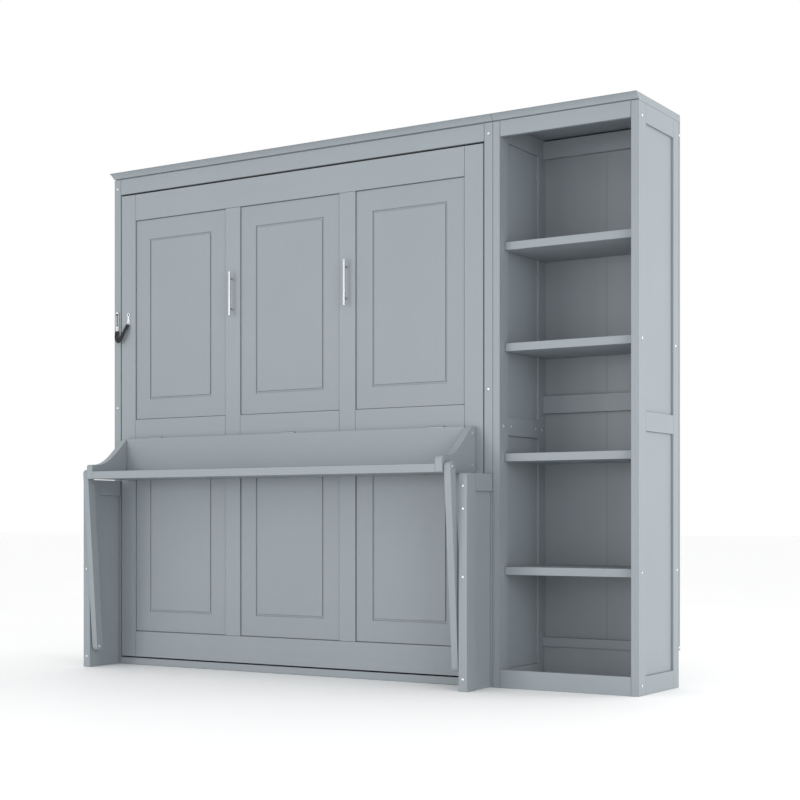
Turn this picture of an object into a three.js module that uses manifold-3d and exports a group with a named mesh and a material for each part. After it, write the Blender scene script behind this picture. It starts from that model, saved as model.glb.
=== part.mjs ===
// Vertical wall bed with a self-levelling desk and an attached bookcase.
//
// Millimetres, +Z up. Every sub-part is placed from the middle of the bed cabinet (x = 0), the front
// faces of the cabinet posts (y = 0, +y towards the wall) and the floor (z = 0). At the end the whole
// group is moved so that its origin is on the floor, in the middle of its width and depth.
//
// The bed is shut. It folds down about a pivot low in the cabinet, and a parallelogram linkage keeps
// the desk level: cabinet pivot, desk hinge, and the upper and lower pivot of each link arm.

import * as THREE from 'three';
import { mergeVertices } from 'three/addons/utils/BufferGeometryUtils.js';
import Module from 'manifold-3d';

const wasm = await Module();
wasm.setup();

// ---------------------------------------------------------------- driving dimensions

const GAP = 0.3; // between the faces of two pieces that touch
const POST_TOP = 2170; // height of the sides, under the crown
const SIDE_DEPTH = 382; // post front to the rear edge of a side
const BACK_THICKNESS = 12;
const REAR = SIDE_DEPTH + GAP + BACK_THICKNESS;
const SKIRTING_CLEARANCE = 141; // the back boards stop this far above the floor

const BED_WIDTH = 1939;
const BED_HALF = BED_WIDTH / 2;
const BED_SIDE = 37; // thickness of a bed cabinet side
const BED_INNER = BED_HALF - BED_SIDE;

const BOOKCASE_WIDTH = 603;
const BOOKCASE_SIDE = 30;
const CABINET_GAP = 1;
const BOOKCASE_LEFT = BED_HALF + CABINET_GAP;
const BOOKCASE_RIGHT = BOOKCASE_LEFT + BOOKCASE_WIDTH;
const BOOKCASE_CENTRE = (BOOKCASE_LEFT + BOOKCASE_RIGHT) / 2;

// Frame of a cabinet side: two stiles, three rails and a thin infill.
const SIDE_FRAME = { frontStile: 67, rearStile: 55, infill: 12, outerRecess: 9 };
const SIDE_WINDOWS = [[69.3, 969], [1041.3, 2098.5]]; // heights between the rails

const CROWN = { height: 28.2, front: 20, left: 10, neck: 3.5, neckInset: 6, lip: 2, fascia: 2.4, hollow: 0.62, steps: 8 };

const FRONT_RAIL_THICKNESS = 18;
const BED_TOP_RAIL_BOTTOM = 2100.6;
const BED_BOTTOM_RAIL_TOP = 30;
const BOOKCASE_TOP_RAIL_BOTTOM = 2110.5;
const BOOKCASE_BOTTOM_RAIL_TOP = 69.7;

const BACK_RAIL = { thickness: 20, top: [2092, 2163], middle: [1070.5, 1140], bottom: [135.3, 172.3], kick: 12 };

const SHELF = { tops: [463, 899, 1322.6, 1711.6], board: 31.7, setBack: 39, endGap: 1.6 };

// Door, which is the underside of the bed.
const DOOR_HALF = 927.5;
const DOOR_BOTTOM = 35.5;
const DOOR_TOP = 2094;
const DOOR_THICKNESS = 20;
const OUTER_STILE = 83;
const MID_STILE = [255.7, 334.8];
const DOOR_RAIL = { bottom: 113.5, top: 117 };
const MID_RAIL = [972, 1090];
const MID_RAIL_THICKNESS = 4.7;
const PANEL = [5, 17]; // front and back of the recessed panels
const GROOVE = { side: 81, end: 89, width: 8, depth: 4 };
const REVEAL = { width: 2.4, depth: 4.5 }; // the open joint round a panel

// Bed frame behind the door.
const FRAME_HALF = 920;
const FRAME_BOARD = 18;
const FRAME_INNER = FRAME_HALF - FRAME_BOARD;
const FRAME_DEPTH = [DOOR_THICKNESS + GAP, 180];
const FRAME_HEIGHT = [45, 2080];
const SLAT = { count: 13, height: 80, front: 31, back: 43 };
const RUNNER = { places: [-870, -295, 295, 870], width: 44, back: 32 };

// Linkage pivots, as [y, z].
const ARM_LOWER_PIVOT = [-170, 90];
const ARM_UPPER_PIVOT = [-228, 843];
const DESK_HINGE_AXIS = [-6, 1006];
const BED_PIVOT = [
  DESK_HINGE_AXIS[0] - ARM_UPPER_PIVOT[0] + ARM_LOWER_PIVOT[0],
  DESK_HINGE_AXIS[1] - ARM_UPPER_PIVOT[1] + ARM_LOWER_PIVOT[1],
];
const ARM = { inner: 898, outer: 925.5, width: 37.5, pin: 6, pinReach: 13, bore: 7, boreDepth: 15 };
const PIVOT_PIN = { radius: 8, bore: 8.6, plate: 4, plateWidth: 30, plateHeight: 106, tip: 903 };

// Desk.
const DESK_FRONT = -256;
const DESK_BACK = -2.3;
const DESK_BOTTOM = 821;
const DESK_TOP = 854;
const UPSTAND_THICKNESS = 33;
const UPSTAND_TOP = 1003.5;
const BRACKET = { inner: 865, outer: 895, shoulder: -30, nose: 883, noseRadius: 12, toeRadius: 4 };
const DESK_HINGE = { places: [-722, 0, 722], length: 68, radius: 4.5, leafBottom: 976, leaf: [-1.9, -0.3] };

// Wings: short panels that stand in front of the posts and carry the link arms.
const WING = { front: -198, top: 819.5, stile: 66, rail: 67, recess: 10, cornerRadius: 12 };

// Pull handles and safety strap.
const HANDLE = { x: 295, z: 1607, length: 188, centres: 128, bar: 5.5, post: 4.5, standOff: 24 };
const LATCH_PLATE = { x: -951.5, z: [1491, 1577], width: 14, depth: [-6, -3], slotWidth: 5, slot: [1512, 1568] };
const WEBBING = { width: 23, thickness: 2.4, steps: 18 };

// Gas struts, in the recess inside each bed cabinet side.
const STRUT = {
  x: 934.5, crank: 75, bottom: 440, top: 862, radius: 9.5, bore: 5, boreTop: 800,
  rod: 4, rodTop: 600, eye: 9, eyeWidth: 8, clip: 14, stud: 5, studReach: 926.5,
};

const PAINT = 0x9ea7ad;
const STEEL = 0xb9bcbe;
const PINE = 0xc9ab7c;
const BLACK = 0x1d1f22;

// ---------------------------------------------------------------- solids

function box([x0, x1], [y0, y1], [z0, z1]) {
  const geometry = new THREE.BoxGeometry(x1 - x0, y1 - y0, z1 - z0);
  geometry.translate((x0 + x1) / 2, (y0 + y1) / 2, (z0 + z1) / 2);
  return geometry;
}

// A cylinder along 'x', 'y' or 'z', from one end to the other, around a centre given by the other axes.
function rod(axis, [start, end], [a, b], radius, segments = 24) {
  const geometry = new THREE.CylinderGeometry(radius, radius, end - start, segments);
  const middle = (start + end) / 2;
  if (axis === 'x') {
    geometry.rotateZ(Math.PI / 2);
    geometry.translate(middle, a, b);
  } else if (axis === 'y') {
    geometry.translate(a, middle, b);
  } else {
    geometry.rotateX(Math.PI / 2);
    geometry.translate(a, b, middle);
  }
  return geometry;
}

// A shape drawn in (y, z), extruded along x.
function prismX(shape, [x0, x1], curveSegments = 12) {
  const geometry = new THREE.ExtrudeGeometry(shape, { depth: x1 - x0, bevelEnabled: false, curveSegments });
  const yAxis = new THREE.Vector3(0, 1, 0);
  const zAxis = new THREE.Vector3(0, 0, 1);
  const xAxis = new THREE.Vector3(1, 0, 0);
  geometry.applyMatrix4(new THREE.Matrix4().makeBasis(yAxis, zAxis, xAxis));
  geometry.translate(x0, 0, 0);
  return geometry;
}

// A shape drawn in (x, z), extruded along y.
function prismY(shape, [y0, y1], curveSegments = 12) {
  const geometry = new THREE.ExtrudeGeometry(shape, { depth: y1 - y0, bevelEnabled: false, curveSegments });
  geometry.rotateX(Math.PI / 2);
  geometry.translate(0, y1, 0);
  return geometry;
}

function toSolid(geometry) {
  const bare = geometry.clone();
  bare.deleteAttribute('normal');
  bare.deleteAttribute('uv');
  const merged = mergeVertices(bare, 1e-4);
  return new wasm.Manifold(new wasm.Mesh({
    numProp: 3,
    vertProperties: new Float32Array(merged.attributes.position.array),
    triVerts: new Uint32Array(merged.index.array),
  }));
}

function toGeometry(solid) {
  const mesh = solid.getMesh();
  const geometry = new THREE.BufferGeometry();
  geometry.setAttribute('position', new THREE.BufferAttribute(mesh.vertProperties, 3));
  geometry.setIndex(new THREE.BufferAttribute(mesh.triVerts, 1));
  geometry.computeVertexNormals();
  return geometry;
}

function join(...geometries) {
  return toGeometry(geometries.map(toSolid).reduce((whole, next) => whole.add(next)));
}

function cut(body, ...tools) {
  return toGeometry(tools.map(toSolid).reduce((rest, tool) => rest.subtract(tool), toSolid(body)));
}

function common(first, second) {
  return toGeometry(toSolid(first).intersect(toSolid(second)));
}

// The x range of a piece on the right (side 1) or its mirror image on the left (side -1).
function onSide(side, inner, outer) {
  return side > 0 ? [inner, outer] : [-outer, -inner];
}

// ---------------------------------------------------------------- scene graph

const unit = new THREE.Group();

function add(name, geometry, colour, roughness, metalness) {
  const material = new THREE.MeshStandardMaterial({ color: colour, roughness, metalness });
  const mesh = new THREE.Mesh(geometry, material);
  mesh.name = name;
  unit.add(mesh);
}

function addPainted(name, geometry) {
  add(name, geometry, PAINT, 0.55, 0);
}

function addSteel(name, geometry) {
  add(name, geometry, STEEL, 0.32, 1);
}

const SIDES = [['left', -1], ['right', 1]];

// ---------------------------------------------------------------- cabinet sides and wings

// A glued frame with an infill that is set in from both faces. outward is the way its outer face looks.
function cabinetSide([x0, x1], outward) {
  const y = [SIDE_FRAME.frontStile, SIDE_DEPTH - SIDE_FRAME.rearStile];
  const { infill, outerRecess } = SIDE_FRAME;
  const outerCut = outward > 0 ? [x1 - outerRecess, x1 + 1] : [x0 - 1, x0 + outerRecess];
  const innerCut = outward > 0 ? [x0 - 1, x1 - outerRecess - infill] : [x0 + outerRecess + infill, x1 + 1];
  const recesses = SIDE_WINDOWS.flatMap((z) => [box(outerCut, y, z), box(innerCut, y, z)]);
  return cut(box([x0, x1], [0, SIDE_DEPTH], [0, POST_TOP]), ...recesses);
}

function wing(side) {
  const { front, top, stile, rail, recess, cornerRadius } = WING;
  const outline = new THREE.Shape();
  outline.moveTo(-GAP, 0);
  outline.lineTo(-GAP, top);
  outline.lineTo(front + cornerRadius, top);
  outline.absarc(front + cornerRadius, top - cornerRadius, cornerRadius, Math.PI / 2, Math.PI, false);
  outline.lineTo(front, 0);
  outline.closePath();
  const slab = prismX(outline, onSide(side, BED_INNER, BED_HALF));
  const y = [front + stile, 1];
  const z = [-1, top - rail];
  const bore = rod('x', onSide(side, BED_INNER - 1, BED_INNER + ARM.boreDepth), ARM_LOWER_PIVOT, ARM.bore);
  return cut(
    slab,
    box(onSide(side, BED_INNER - 1, BED_INNER + recess), y, z),
    box(onSide(side, BED_HALF - recess, BED_HALF + 1), y, z),
    bore,
  );
}

function addSidesAndWings() {
  for (const [label, side] of SIDES) {
    addPainted(`bed_side_${label}`, cabinetSide(onSide(side, BED_INNER, BED_HALF), side));
    addPainted(`front_wing_${label}`, wing(side));
  }
  addPainted('bookcase_side_left', cabinetSide([BOOKCASE_LEFT, BOOKCASE_LEFT + BOOKCASE_SIDE], -1));
  addPainted('bookcase_side_right', cabinetSide([BOOKCASE_RIGHT - BOOKCASE_SIDE, BOOKCASE_RIGHT], 1));
}

// ---------------------------------------------------------------- crowns

// Half the moulding's outline: from the neck, out under the lip, up the shallow cove and the thin fascia.
function mouldingPoints(overhang, neckInset) {
  const { height, neck, lip, fascia, hollow, steps } = CROWN;
  const rise = height - fascia - neck;
  const points = [[neckInset, 0], [neckInset, neck]];
  for (let i = 0; i <= steps; i += 1) {
    const t = i / steps;
    const climb = 2 * t * (1 - t) * hollow + t * t;
    const reach = 2 * t * (1 - t) * (1 - hollow) + t * t;
    points.push([-lip - (overhang - lip) * reach, neck + rise * climb]);
  }
  points.push([-overhang, height]);
  return points;
}

function outlineOf(points) {
  return new THREE.Shape(points.map(([a, b]) => new THREE.Vector2(a, b)));
}

function crown(x0, x1, leftOverhang) {
  const { height, front, neckInset } = CROWN;
  const frontOutline = outlineOf([...mouldingPoints(front, neckInset), [REAR, height], [REAR, 0]]);
  const length = prismX(frontOutline, [x0 - leftOverhang, x1]);
  let solid = length;
  if (leftOverhang > 0) {
    const leftEdge = mouldingPoints(leftOverhang, neckInset).map(([a, b]) => [x0 + a, b]);
    const returnOutline = outlineOf([...leftEdge, [x1, height], [x1, 0]]);
    solid = common(length, prismY(returnOutline, [-front, REAR]));
  }
  solid.translate(0, 0, POST_TOP + GAP);
  return solid;
}

function addCrowns() {
  addPainted('bed_crown', crown(-BED_HALF, BED_HALF, CROWN.left));
  addPainted('bookcase_crown', crown(BOOKCASE_LEFT, BOOKCASE_RIGHT, 0));
}

// ---------------------------------------------------------------- rails and back boards

// The low back rail is thick at the top and carries a thin kick board down to the floor.
function lowBackRail(x) {
  const { thickness, bottom, kick } = BACK_RAIL;
  return join(
    box(x, [SIDE_DEPTH - thickness, SIDE_DEPTH], bottom),
    box(x, [SIDE_DEPTH - kick, SIDE_DEPTH], [0, bottom[0] + 1]),
  );
}

function backRail(x, z) {
  return box(x, [SIDE_DEPTH - BACK_RAIL.thickness, SIDE_DEPTH], z);
}

function addBedCabinetRails() {
  const x = [-BED_INNER + GAP, BED_INNER - GAP];
  const front = [0, FRONT_RAIL_THICKNESS];
  const board = [SIDE_DEPTH + GAP, REAR];
  addPainted('bed_top_rail', box(x, front, [BED_TOP_RAIL_BOTTOM, POST_TOP]));
  addPainted('bed_bottom_rail', box(x, front, [0, BED_BOTTOM_RAIL_TOP]));
  addPainted('bed_back_rail_top', backRail(x, BACK_RAIL.top));
  addPainted('bed_back_rail_bottom', lowBackRail(x));
  addPainted('bed_back_board', box([-BED_HALF, BED_HALF], board, [SKIRTING_CLEARANCE, POST_TOP]));
}

function shelf([x0, x1], top) {
  const { board, setBack, endGap } = SHELF;
  return box([x0 + endGap, x1 - endGap], [setBack, SIDE_DEPTH - GAP], [top - board, top]);
}

function addBookcase() {
  const x = [BOOKCASE_LEFT + BOOKCASE_SIDE + GAP, BOOKCASE_RIGHT - BOOKCASE_SIDE - GAP];
  const front = [0, FRONT_RAIL_THICKNESS];
  const board = [SIDE_DEPTH + GAP, REAR];
  const z = [SKIRTING_CLEARANCE, POST_TOP];
  addPainted('bookcase_top_rail', box(x, front, [BOOKCASE_TOP_RAIL_BOTTOM, POST_TOP]));
  addPainted('bookcase_bottom_rail', box(x, front, [0, BOOKCASE_BOTTOM_RAIL_TOP]));
  addPainted('bookcase_back_rail_top', backRail(x, BACK_RAIL.top));
  addPainted('bookcase_back_rail_middle', backRail(x, BACK_RAIL.middle));
  addPainted('bookcase_back_rail_bottom', lowBackRail(x));
  addPainted('bookcase_back_board_left', box([BOOKCASE_LEFT, BOOKCASE_CENTRE - GAP / 2], board, z));
  addPainted('bookcase_back_board_right', box([BOOKCASE_CENTRE + GAP / 2, BOOKCASE_RIGHT], board, z));
  SHELF.tops.forEach((top, i) => addPainted(`bookcase_shelf_${i + 1}`, shelf(x, top)));
}

// ---------------------------------------------------------------- door

// A rectangular ring routed into the front of a panel, around one cell of the door.
function ringGroove([x0, x1], [z0, z1]) {
  const y = [PANEL[0] - 1, PANEL[0] + GROOVE.depth];
  const outer = box([x0 + GROOVE.side, x1 - GROOVE.side], y, [z0 + GROOVE.end, z1 - GROOVE.end]);
  const sideIn = GROOVE.side + GROOVE.width;
  const endIn = GROOVE.end + GROOVE.width;
  const core = box([x0 + sideIn, x1 - sideIn], [y[0] - 1, y[1] + 1], [z0 + endIn, z1 - endIn]);
  return cut(outer, core);
}

// The open joint all round one cell of a panel.
function reveal([x0, x1], [z0, z1]) {
  const y = [PANEL[0] - 1, PANEL[0] + REVEAL.depth];
  const outer = box([x0 - 1, x1 + 1], y, [z0, z1]);
  const inner = REVEAL.width;
  return cut(outer, box([x0 + inner, x1 - inner], [y[0] - 1, y[1] + 1], [z0 + inner, z1 - inner]));
}

function doorPanel(x) {
  const bottom = DOOR_BOTTOM + DOOR_RAIL.bottom;
  const top = DOOR_TOP - DOOR_RAIL.top;
  const board = box([x[0] + GAP, x[1] - GAP], PANEL, [bottom + GAP, top - GAP]);
  const lower = [bottom, MID_RAIL[0]];
  const upper = [MID_RAIL[1], top];
  return cut(board, ringGroove(x, lower), ringGroove(x, upper), reveal(x, lower), reveal(x, upper));
}

function addDoor() {
  const y = [0, DOOR_THICKNESS];
  const z = [DOOR_BOTTOM, DOOR_TOP];
  const edge = DOOR_HALF - OUTER_STILE;
  const between = [-edge + GAP, edge - GAP];
  const midZ = [z[0] + DOOR_RAIL.bottom + GAP, z[1] - DOOR_RAIL.top - GAP];
  for (const [label, side] of SIDES) {
    addPainted(`door_stile_${label}`, box(onSide(side, edge, DOOR_HALF), y, z));
    addPainted(`door_stile_mid_${label}`, box(onSide(side, ...MID_STILE), y, midZ));
  }
  addPainted('door_rail_top', box(between, y, [z[1] - DOOR_RAIL.top, z[1]]));
  addPainted('door_rail_bottom', box(between, y, [z[0], z[0] + DOOR_RAIL.bottom]));
  const columns = {
    left: [-edge, -MID_STILE[1]],
    centre: [-MID_STILE[0], MID_STILE[0]],
    right: [MID_STILE[1], edge],
  };
  for (const [label, x] of Object.entries(columns)) {
    addPainted(`door_panel_${label}`, doorPanel(x));
    addPainted(`door_mid_rail_${label}`, box([x[0] + GAP, x[1] - GAP], [0, MID_RAIL_THICKNESS], MID_RAIL));
  }
}

// ---------------------------------------------------------------- bed frame

function strutCrank() {
  const reach = STRUT.crank * Math.SQRT1_2;
  return [BED_PIVOT[0] + reach, BED_PIVOT[1] - reach];
}

function frameSide(side) {
  const board = box(onSide(side, FRAME_INNER, FRAME_HALF), FRAME_DEPTH, FRAME_HEIGHT);
  const stud = rod('x', onSide(side, FRAME_HALF - 1, STRUT.studReach), strutCrank(), STRUT.stud, 16);
  const bore = rod('x', onSide(side, FRAME_INNER - 1, FRAME_HALF + 1), BED_PIVOT, PIVOT_PIN.bore);
  return cut(join(board, stud), bore);
}

// Slats tied together by long runners, which lie on the backs of the door's stiles.
function slatDeck() {
  const bottom = FRAME_HEIGHT[0] + FRAME_BOARD + GAP;
  const top = FRAME_HEIGHT[1] - FRAME_BOARD - GAP;
  const x = [-FRAME_INNER + GAP, FRAME_INNER - GAP];
  const pitch = (top - bottom - SLAT.height) / (SLAT.count - 1);
  const slats = Array.from({ length: SLAT.count }, (_, i) => {
    const z = bottom + i * pitch;
    return box(x, [SLAT.front, SLAT.back], [z, z + SLAT.height]);
  });
  const runners = RUNNER.places.map((place) => {
    const width = [place - RUNNER.width / 2, place + RUNNER.width / 2];
    return box(width, [FRAME_DEPTH[0], RUNNER.back], [bottom + 2, top - 2]);
  });
  return join(...slats, ...runners);
}

function addBedFrame() {
  const x = [-FRAME_INNER + GAP, FRAME_INNER - GAP];
  const [bottom, top] = FRAME_HEIGHT;
  for (const [label, side] of SIDES) {
    addPainted(`bed_frame_side_${label}`, frameSide(side));
  }
  addPainted('bed_frame_head', box(x, FRAME_DEPTH, [bottom, bottom + FRAME_BOARD]));
  addPainted('bed_frame_foot', box(x, FRAME_DEPTH, [top - FRAME_BOARD, top]));
  add('slat_deck', slatDeck(), PINE, 0.6, 0);
}

// ---------------------------------------------------------------- pivots and gas struts

function pivotPlate(side) {
  const [y, z] = BED_PIVOT;
  const { radius, plate, plateWidth, plateHeight, tip } = PIVOT_PIN;
  const face = BED_INNER - GAP;
  return join(
    box(
      onSide(side, face - plate, face),
      [y - plateWidth / 2, y + plateWidth / 2],
      [z - plateHeight / 2, z + plateHeight / 2],
    ),
    rod('x', onSide(side, tip, face - 1), BED_PIVOT, radius),
  );
}

function strutCylinder(side) {
  const { x, bottom, top, radius, bore, boreTop, clip } = STRUT;
  const y = strutCrank()[0];
  const infillFace = BED_HALF - SIDE_FRAME.outerRecess - SIDE_FRAME.infill;
  const tube = rod('z', [bottom, top], [side * x, y], radius);
  const block = box(onSide(side, x - clip / 2, infillFace - GAP), [y - clip / 2, y + clip / 2], [top - 2, top + clip]);
  return cut(join(tube, block), rod('z', [bottom - 1, boreTop], [side * x, y], bore));
}

function strutRod(side) {
  const { x, rod: radius, rodTop, eye, eyeWidth } = STRUT;
  const [y, z] = strutCrank();
  return join(
    rod('z', [z, rodTop], [side * x, y], radius, 16),
    rod('x', onSide(side, x - eyeWidth / 2, x + eyeWidth / 2), [y, z], eye, 20),
  );
}

function addLiftMechanism() {
  for (const [label, side] of SIDES) {
    addSteel(`pivot_plate_${label}`, pivotPlate(side));
    add(`strut_cylinder_${label}`, strutCylinder(side), BLACK, 0.4, 0.6);
    addSteel(`strut_rod_${label}`, strutRod(side));
  }
}

// ---------------------------------------------------------------- desk and linkage

function bracketOutline() {
  const { shoulder, nose, noseRadius, toeRadius } = BRACKET;
  const outline = new THREE.Shape();
  outline.moveTo(DESK_BACK, DESK_BOTTOM);
  outline.lineTo(DESK_BACK, UPSTAND_TOP);
  outline.lineTo(shoulder, UPSTAND_TOP);
  outline.bezierCurveTo(-108, 938, -148, nose, -228, nose);
  outline.lineTo(DESK_FRONT + noseRadius, nose);
  outline.absarc(DESK_FRONT + noseRadius, nose - noseRadius, noseRadius, Math.PI / 2, Math.PI, false);
  outline.absarc(DESK_FRONT + toeRadius, DESK_BOTTOM + toeRadius, toeRadius, Math.PI, Math.PI * 1.5, false);
  outline.closePath();
  return outline;
}

function deskBracket(side) {
  const cheek = prismX(bracketOutline(), onSide(side, BRACKET.inner, BRACKET.outer), 24);
  const reach = onSide(side, BRACKET.outer - ARM.boreDepth, BRACKET.outer + 1);
  return cut(cheek, rod('x', reach, ARM_UPPER_PIVOT, ARM.bore));
}

// The board behind the desk top, with a notch for each hinge knuckle in its top edge.
function deskUpstand(x) {
  const board = box(x, [DESK_BACK - UPSTAND_THICKNESS, DESK_BACK], [DESK_BOTTOM, UPSTAND_TOP]);
  const clearance = DESK_HINGE.radius + 0.7;
  const notches = DESK_HINGE.places.map((place) => box(
    [place - DESK_HINGE.length / 2 - 1, place + DESK_HINGE.length / 2 + 1],
    [DESK_HINGE_AXIS[0] - clearance, DESK_BACK + 1],
    [DESK_HINGE_AXIS[1] - clearance, UPSTAND_TOP + 1],
  ));
  return cut(board, ...notches);
}

function deskHinge(place) {
  const x = [place - DESK_HINGE.length / 2, place + DESK_HINGE.length / 2];
  return join(
    rod('x', x, DESK_HINGE_AXIS, DESK_HINGE.radius, 16),
    box(x, DESK_HINGE.leaf, [DESK_HINGE.leafBottom, DESK_HINGE_AXIS[1]]),
  );
}

function addDesk() {
  const x = [-BRACKET.inner + GAP, BRACKET.inner - GAP];
  const topBack = DESK_BACK - UPSTAND_THICKNESS - GAP;
  addPainted('desk_top', box(x, [DESK_FRONT, topBack], [DESK_BOTTOM, DESK_TOP]));
  addPainted('desk_upstand', deskUpstand(x));
  for (const [label, side] of SIDES) {
    addPainted(`desk_bracket_${label}`, deskBracket(side));
  }
  const labels = ['left', 'centre', 'right'];
  DESK_HINGE.places.forEach((place, i) => addSteel(`desk_hinge_${labels[i]}`, deskHinge(place)));
}

// A flat bar with round ends and a pin at each end: the lower one outwards, the upper one inwards.
function linkArm(side) {
  const [y0, z0] = ARM_LOWER_PIVOT;
  const [y1, z1] = ARM_UPPER_PIVOT;
  const half = ARM.width / 2;
  const slope = Math.atan2(z1 - z0, y1 - y0);
  const outline = new THREE.Shape();
  outline.absarc(y0, z0, half, slope + Math.PI / 2, slope + Math.PI * 1.5, false);
  outline.absarc(y1, z1, half, slope - Math.PI / 2, slope + Math.PI / 2, false);
  outline.closePath();
  return join(
    prismX(outline, onSide(side, ARM.inner, ARM.outer), 20),
    rod('x', onSide(side, ARM.outer - 1, BED_INNER + ARM.pinReach), ARM_LOWER_PIVOT, ARM.pin),
    rod('x', onSide(side, BRACKET.outer - ARM.pinReach, ARM.inner + 1), ARM_UPPER_PIVOT, ARM.pin),
  );
}

function addLinkArms() {
  for (const [label, side] of SIDES) {
    addPainted(`link_arm_${label}`, linkArm(side));
  }
}

// ---------------------------------------------------------------- handles and strap

function pullHandle(side) {
  const { x, z, length, centres, bar, post, standOff } = HANDLE;
  const posts = [-1, 1].map((end) => {
    const centre = [side * x, z + (end * centres) / 2];
    return rod('y', [-standOff, -GAP], centre, post, 16);
  });
  return join(rod('z', [z - length / 2, z + length / 2], [side * x, -standOff], bar), ...posts);
}

// A slotted plate at the free end of the strap, which hooks over a stud on the left post.
function latchPlate() {
  const { x, z, width, depth, slotWidth, slot } = LATCH_PLATE;
  const stadium = (half, [z0, z1]) => {
    const shape = new THREE.Shape();
    shape.absarc(x, z1 - half, half, 0, Math.PI, false);
    shape.absarc(x, z0 + half, half, Math.PI, Math.PI * 2, false);
    shape.closePath();
    return shape;
  };
  const plate = prismY(stadium(width / 2, z), depth);
  return cut(plate, prismY(stadium(slotWidth / 2, slot), [depth[0] - 1, depth[1] + 1]));
}

// Slack webbing from the latch plate, down round a bend and up to the door's left stile.
function strapWebbing() {
  const route = new THREE.CatmullRomCurve3([
    new THREE.Vector3(-951.5, -6, 1490),
    new THREE.Vector3(-951.5, -9, 1472),
    new THREE.Vector3(-946.5, -13, 1456),
    new THREE.Vector3(-933.5, -16, 1446),
    new THREE.Vector3(-918.5, -17, 1453),
    new THREE.Vector3(-907.5, -15, 1470),
    new THREE.Vector3(-896.5, -12, 1494),
    new THREE.Vector3(-886.5, -6, 1516),
  ]);
  const halfWidth = WEBBING.width / 2;
  const halfThickness = WEBBING.thickness / 2;
  const section = outlineOf([
    [-halfWidth, -halfThickness],
    [halfWidth, -halfThickness],
    [halfWidth, halfThickness],
    [-halfWidth, halfThickness],
  ]);
  return new THREE.ExtrudeGeometry(section, { steps: WEBBING.steps, extrudePath: route, bevelEnabled: false });
}

function addFittings() {
  addSteel('pull_handle_left', pullHandle(-1));
  addSteel('pull_handle_right', pullHandle(1));
  addSteel('strap_latch_plate', latchPlate());
  add('strap_webbing', strapWebbing(), BLACK, 0.9, 0);
}

// ---------------------------------------------------------------- assembly

addSidesAndWings();
addCrowns();
addBedCabinetRails();
addBookcase();
addDoor();
addBedFrame();
addLiftMechanism();
addDesk();
addLinkArms();
addFittings();

const group = new THREE.Group();
const leftEnd = -BED_HALF - CROWN.left;
unit.position.set(-(leftEnd + BOOKCASE_RIGHT) / 2, -(DESK_FRONT + REAR) / 2, 0);
group.add(unit);

export default group;
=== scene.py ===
"""Looks for the wall bed: materials, seams, fasteners, handles, hinges and the safety strap."""

import math

import bmesh
import bpy
from mathutils import Matrix, Vector


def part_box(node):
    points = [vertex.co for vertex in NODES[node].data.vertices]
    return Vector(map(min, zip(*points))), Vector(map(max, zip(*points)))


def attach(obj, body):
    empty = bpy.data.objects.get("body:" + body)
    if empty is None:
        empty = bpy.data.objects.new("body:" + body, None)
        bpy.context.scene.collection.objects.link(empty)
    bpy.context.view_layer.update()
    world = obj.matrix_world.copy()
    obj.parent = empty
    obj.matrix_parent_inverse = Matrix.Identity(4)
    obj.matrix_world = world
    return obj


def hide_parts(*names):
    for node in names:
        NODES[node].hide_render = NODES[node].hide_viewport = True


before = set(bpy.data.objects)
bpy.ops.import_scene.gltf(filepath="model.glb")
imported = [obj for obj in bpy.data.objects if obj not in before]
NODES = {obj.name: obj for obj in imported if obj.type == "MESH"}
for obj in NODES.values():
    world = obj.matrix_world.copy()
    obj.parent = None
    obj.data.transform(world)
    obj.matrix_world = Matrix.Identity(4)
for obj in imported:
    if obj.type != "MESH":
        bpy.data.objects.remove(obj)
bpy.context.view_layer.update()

MM = 0.001
BACK_LOW, BACK_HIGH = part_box("bed_back_board")
POST_LOW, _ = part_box("bed_side_left")
# The bed cabinet's middle, the fronts of its posts, and the floor.
ORIGIN = Vector(((BACK_LOW.x + BACK_HIGH.x) / 2, POST_LOW.y, 0))


def at(x, y, z):
    """A point given in millimetres from ORIGIN, in the row frame."""
    return ORIGIN + Vector((x, y, z)) * MM


# Driving dimensions, in millimetres from ORIGIN. The two sides of the bed cabinet mirror each other in x.
SIDE_TOP, SIDE_DEPTH = 2170, 382
SIDE_STILES = (67, 327)  # where a side's front stile ends and its rear stile starts, in y
SIDE_WINDOWS = ((69.3, 969), (1041.3, 2098.5))  # between a side's rails, in z
SIDE_RECESS, SIDE_INFILL = 9, 12  # depth of the outer recess and thickness of the infill
BED_FACE, POST_MIDDLE, WING_INNER = 969.5, 951, 932.5
BOOKCASE_INNER, BOOKCASE_FACE = 1000.5, 1573.5
WING_FRONT, WING_STILE_END, WING_RAIL_BOTTOM, WING_TOP = -198, -132, 752.5, 819.5
WING_CORNER, WING_RECESS = 12, 10
ARM_INNER, ARM_OUTER = 898, 925.5
ARM_LOWER, ARM_UPPER = (-170, 90), (-228, 843)
BRACKET_OUTER = 895
HANDLE_X, HANDLE_Y, HANDLE_Z = 295, -24, 1607
HINGE_PLACES = (("left", -722), ("centre", 0), ("right", 722))
HINGE_AXIS = (-6, 1006)
LATCH_X, DOOR_PLATE_X = -949.5, -885.5


# ------------------------------------------------------------------ camera, stage, light


def aim(obj, target):
    obj.rotation_euler = (Vector(target) - obj.location).to_track_quat("-Z", "Y").to_euler()


def add_camera():
    data = bpy.data.cameras.new("camera")
    data.sensor_width = 36
    data.lens = 70.24
    data.shift_y = 0.1519
    data.clip_end = 300
    camera = bpy.data.objects.new("camera", data)
    camera.location = at(3864.4, -5256.65, 636.7)
    camera.rotation_euler = (math.radians(90), 0, math.radians(32.24))
    bpy.context.scene.collection.objects.link(camera)
    bpy.context.scene.camera = camera


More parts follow.
